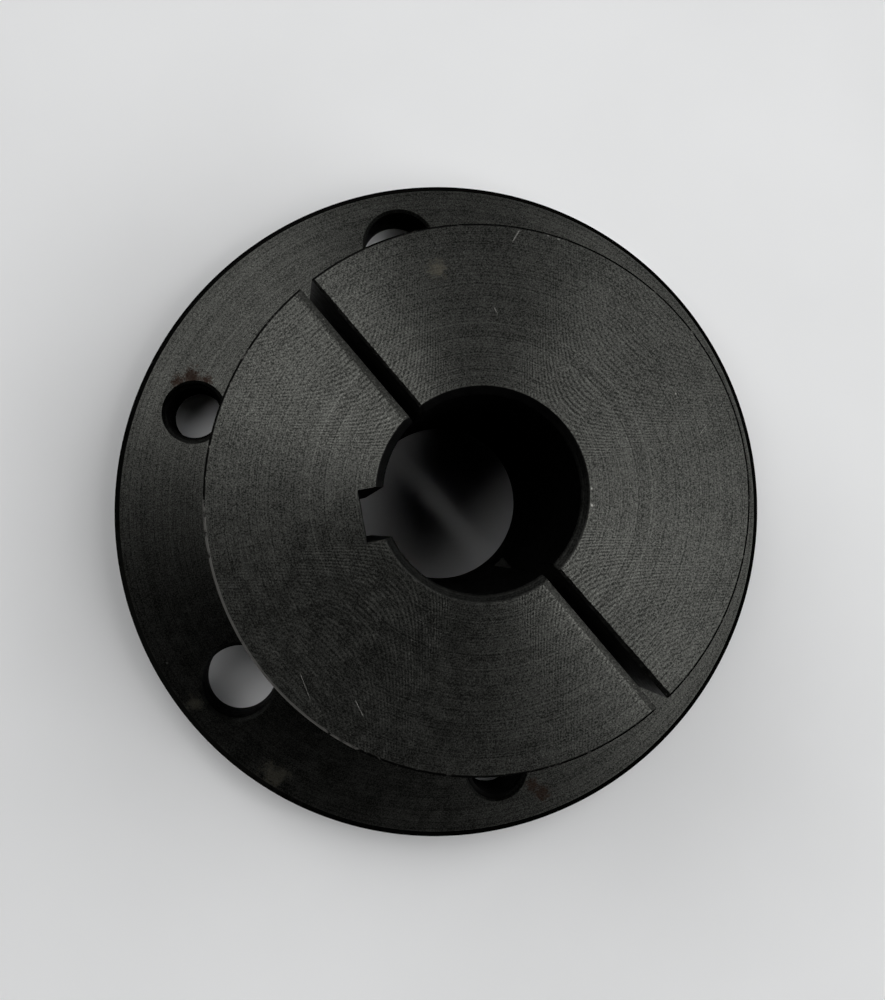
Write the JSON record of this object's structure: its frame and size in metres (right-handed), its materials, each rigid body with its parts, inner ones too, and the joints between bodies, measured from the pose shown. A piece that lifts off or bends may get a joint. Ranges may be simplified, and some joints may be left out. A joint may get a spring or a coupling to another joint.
{
  "type": "split taper bushing",
  "caption": "Flanged split taper bushing with a keyed bore that clamps a sheave, sprocket or hub to a shaft.",
  "frame": {"origin": "centre of the flange's outer face, on the bore's axis", "axes": "+Z along the bore from the flange to the barrel's end; the keyway is on the -X side; a clearance hole is on the +Y side"},
  "size_m": [0.1048, 0.1048, 0.0635],
  "materials": {
    "black_oxide_steel": "turned, black oxide, lightly oiled"
  },
  "bodies": {
    "flange": {"flange": "black_oxide_steel"},
    "plain_half": {"plain_half": "black_oxide_steel"},
    "keyed_half": {"keyed_half": "black_oxide_steel"}
  },
  "joints": [
    {"name": "plain_half_flex", "type": "hinge", "parent": "flange", "child": "plain_half", "pos_m": [0.00078, 0.00045, 0.015], "axis": [0.5, -0.866, 0], "range_deg": [0, 0.88], "stiffness_Nm_per_rad": 150},
    {"name": "keyed_half_flex", "type": "hinge", "parent": "flange", "child": "keyed_half", "pos_m": [-0.00078, -0.00045, 0.015], "axis": [-0.5, 0.866, 0], "range_deg": [0, 0.88], "stiffness_Nm_per_rad": 150}
  ],
  "couplings": [
    {"joint": "keyed_half_flex", "follows": "plain_half_flex", "ratio": 1}
  ]
}
